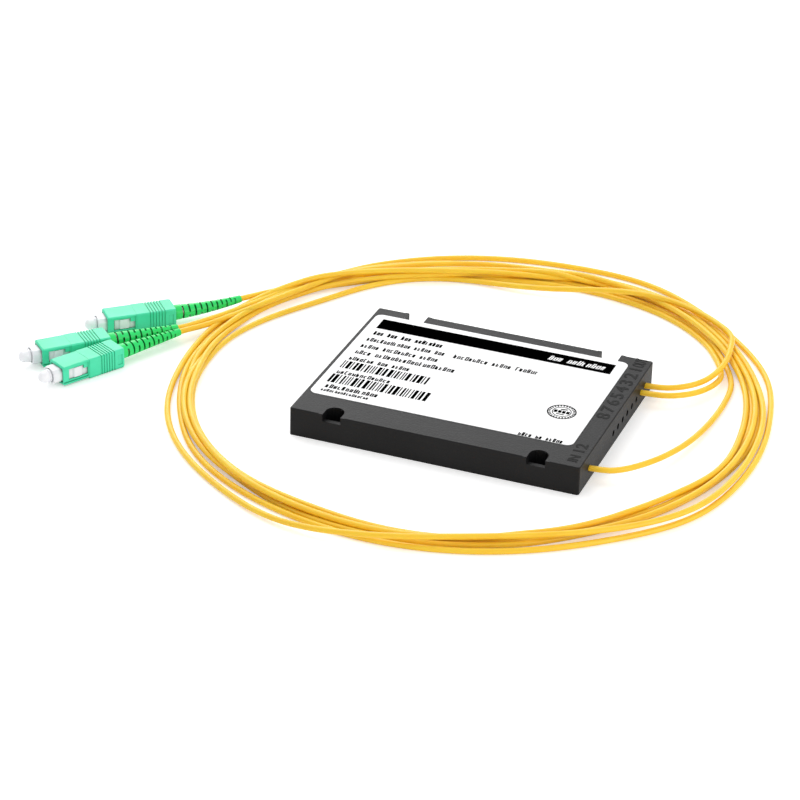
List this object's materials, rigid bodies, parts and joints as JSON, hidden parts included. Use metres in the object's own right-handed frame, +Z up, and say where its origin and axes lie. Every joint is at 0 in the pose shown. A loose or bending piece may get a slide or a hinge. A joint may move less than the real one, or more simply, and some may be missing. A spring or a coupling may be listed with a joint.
{
  "type": "fibre optic splitter",
  "caption": "Flat black moulded splitter box with a white label, and yellow cables that leave one side, lie in a loop and end in green push-pull plugs with capped ferrules",
  "frame": {"origin": "bottom centre of the box, on the surface that it lies on", "axes": "+X towards the side with the cable ports, along the box's length, +Y to the side with the rear notches, +Z up out of the labelled roof"},
  "size_m": [0.251, 0.216, 0.0102],
  "materials": {
    "box_plastic": "black satin ABS with a fine mould texture",
    "label_paper": "white coated paper label",
    "label_ink": "black printed ink",
    "steel": "drawn stainless steel",
    "silica": "polished silica and glass",
    "seal_rubber": "moulded black rubber",
    "cable_jacket": "yellow cable jacket, slightly glossy",
    "fibre_buffer": "tight fibre buffer",
    "brass": "nickel-plated brass",
    "cap_plastic": "milky soft plastic",
    "grip_plastic": "mint green moulded plastic",
    "frame_plastic": "white moulded plastic",
    "ceramic": "polished zirconia",
    "boot_rubber": "bright green soft plastic"
  },
  "bodies": {
    "box": {"housing": "box_plastic", "base_plate": "box_plastic", "label": "label_paper", "label_band": "label_ink", "module_case": "steel", "splitter_chip": "silica", "input_fibre_block": "silica", "output_fibre_block": "silica", "input_module_boot": "seal_rubber", "output_module_boot": "seal_rubber", "cable_coil": "cable_jacket", "output_1_cable_anchor": "brass", "output_1_fibre_lead": "fibre_buffer", "output_1_cable_exit": "cable_jacket", "output_1_cable_tail": "cable_jacket", "output_1_plug_frame": "frame_plastic", "output_1_spring": "steel", "output_1_stop_ring": "brass", "output_1_crimp_sleeve": "brass", "output_1_boot": "boot_rubber", "output_2_cable_anchor": "brass", "output_2_fibre_lead": "fibre_buffer", "output_2_cable_exit": "cable_jacket", "output_2_cable_tail": "cable_jacket", "output_2_plug_frame": "frame_plastic", "output_2_spring": "steel", "output_2_stop_ring": "brass", "output_2_crimp_sleeve": "brass", "output_2_boot": "boot_rubber", "input_cable_anchor": "brass", "input_fibre_lead": "fibre_buffer", "input_cable_exit": "cable_jacket", "input_cable_tail": "cable_jacket", "input_plug_frame": "frame_plastic", "input_spring": "steel", "input_stop_ring": "brass", "input_crimp_sleeve": "brass", "input_boot": "boot_rubber"},
    "output_1_grip_body": {"output_1_grip": "grip_plastic"},
    "output_1_ferrule_body": {"output_1_ferrule": "ceramic", "output_1_ferrule_holder": "brass"},
    "output_1_cap_body": {"output_1_dust_cap": "cap_plastic"},
    "output_2_grip_body": {"output_2_grip": "grip_plastic"},
    "output_2_ferrule_body": {"output_2_ferrule": "ceramic", "output_2_ferrule_holder": "brass"},
    "output_2_cap_body": {"output_2_dust_cap": "cap_plastic"},
    "input_grip_body": {"input_grip": "grip_plastic"},
    "input_ferrule_body": {"input_ferrule": "ceramic", "input_ferrule_holder": "brass"},
    "input_cap_body": {"input_dust_cap": "cap_plastic"}
  },
  "joints": [
    {"name": "output_1_grip_pull", "type": "slide", "parent": "box", "child": "output_1_grip_body", "axis": [0.7513, 0.66, 0], "range_m": [0, 0.0015]},
    {"name": "output_1_ferrule_push", "type": "slide", "parent": "box", "child": "output_1_ferrule_body", "axis": [0.7513, 0.66, 0], "range_m": [0, 0.0015], "stiffness_N_per_m": 5000, "deforming": ["output_1_spring"]},
    {"name": "output_1_cap_off", "type": "slide", "parent": "output_1_ferrule_body", "child": "output_1_cap_body", "axis": [-0.7513, -0.66, 0], "range_m": [0, 0.012]},
    {"name": "output_2_grip_pull", "type": "slide", "parent": "box", "child": "output_2_grip_body", "axis": [0.6884, 0.7254, 0], "range_m": [0, 0.0015]},
    {"name": "output_2_ferrule_push", "type": "slide", "parent": "box", "child": "output_2_ferrule_body", "axis": [0.6884, 0.7254, 0], "range_m": [0, 0.0015], "stiffness_N_per_m": 5000, "deforming": ["output_2_spring"]},
    {"name": "output_2_cap_off", "type": "slide", "parent": "output_2_ferrule_body", "child": "output_2_cap_body", "axis": [-0.6884, -0.7254, 0], "range_m": [0, 0.012]},
    {"name": "input_grip_pull", "type": "slide", "parent": "box", "child": "input_grip_body", "axis": [0.4909, 0.8712, 0], "range_m": [0, 0.0015]},
    {"name": "input_ferrule_push", "type": "slide", "parent": "box", "child": "input_ferrule_body", "axis": [0.4909, 0.8712, 0], "range_m": [0, 0.0015], "stiffness_N_per_m": 5000, "deforming": ["input_spring"]},
    {"name": "input_cap_off", "type": "slide", "parent": "input_ferrule_body", "child": "input_cap_body", "axis": [-0.4909, -0.8712, 0], "range_m": [0, 0.012]}
  ]
}
